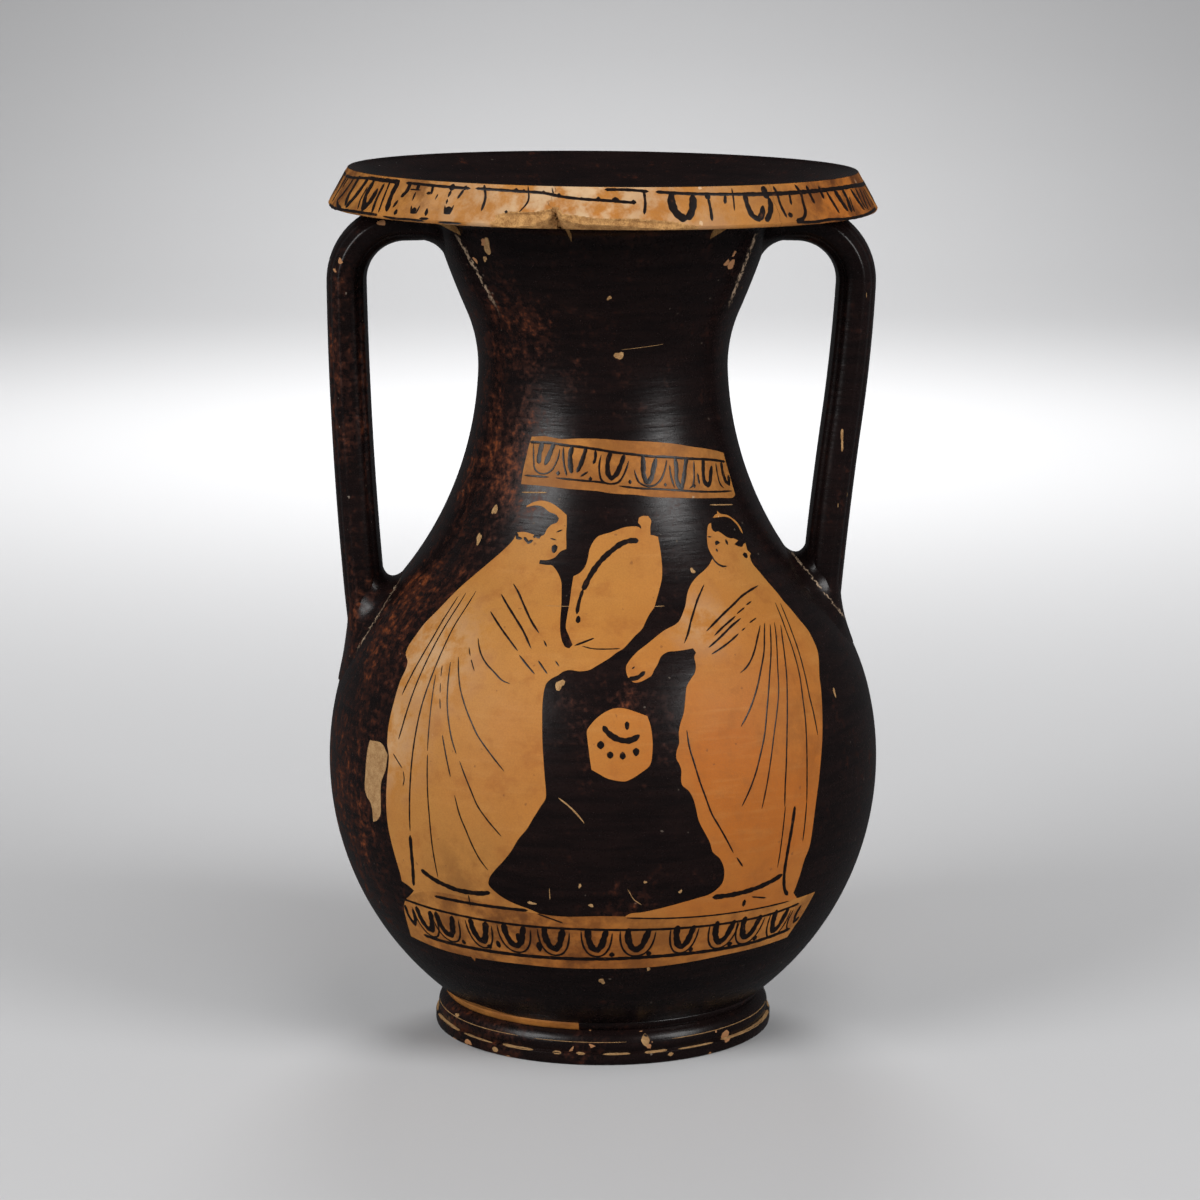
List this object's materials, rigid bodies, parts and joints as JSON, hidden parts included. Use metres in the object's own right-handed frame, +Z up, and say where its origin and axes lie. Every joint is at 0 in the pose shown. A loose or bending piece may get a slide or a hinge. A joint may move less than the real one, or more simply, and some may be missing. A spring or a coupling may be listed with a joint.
{
  "type": "two-handled painted jar",
  "caption": "Two-handled painted clay jar with a wide overhanging mouth, narrow neck, low round belly, ring foot and upright strap handles.",
  "frame": {"origin": "centre of the foot ring's resting plane, on the jar's axis", "axes": "+Z up along the jar's axis, -Y towards the painted front, handles on +X and -X"},
  "size_m": [0.1624, 0.1624, 0.255],
  "materials": {
    "black_gloss": "satin black slip gloss over orange clay, misfired red-brown in patches, worn and speckled",
    "reserved_clay": "matt burnished orange clay, mottled and abraded"
  },
  "bodies": {
    "root": {"belly": "black_gloss", "foot": "black_gloss", "handle_left": "black_gloss", "handle_right": "black_gloss", "luting_foot": "reserved_clay", "luting_left_lower": "black_gloss", "luting_left_upper": "black_gloss", "luting_right_lower": "black_gloss", "luting_right_upper": "black_gloss", "mouth": "reserved_clay", "mouth_sherd_left": "reserved_clay", "mouth_sherd_right": "reserved_clay", "neck": "black_gloss", "shoulder": "black_gloss"}
  },
  "joints": []
}
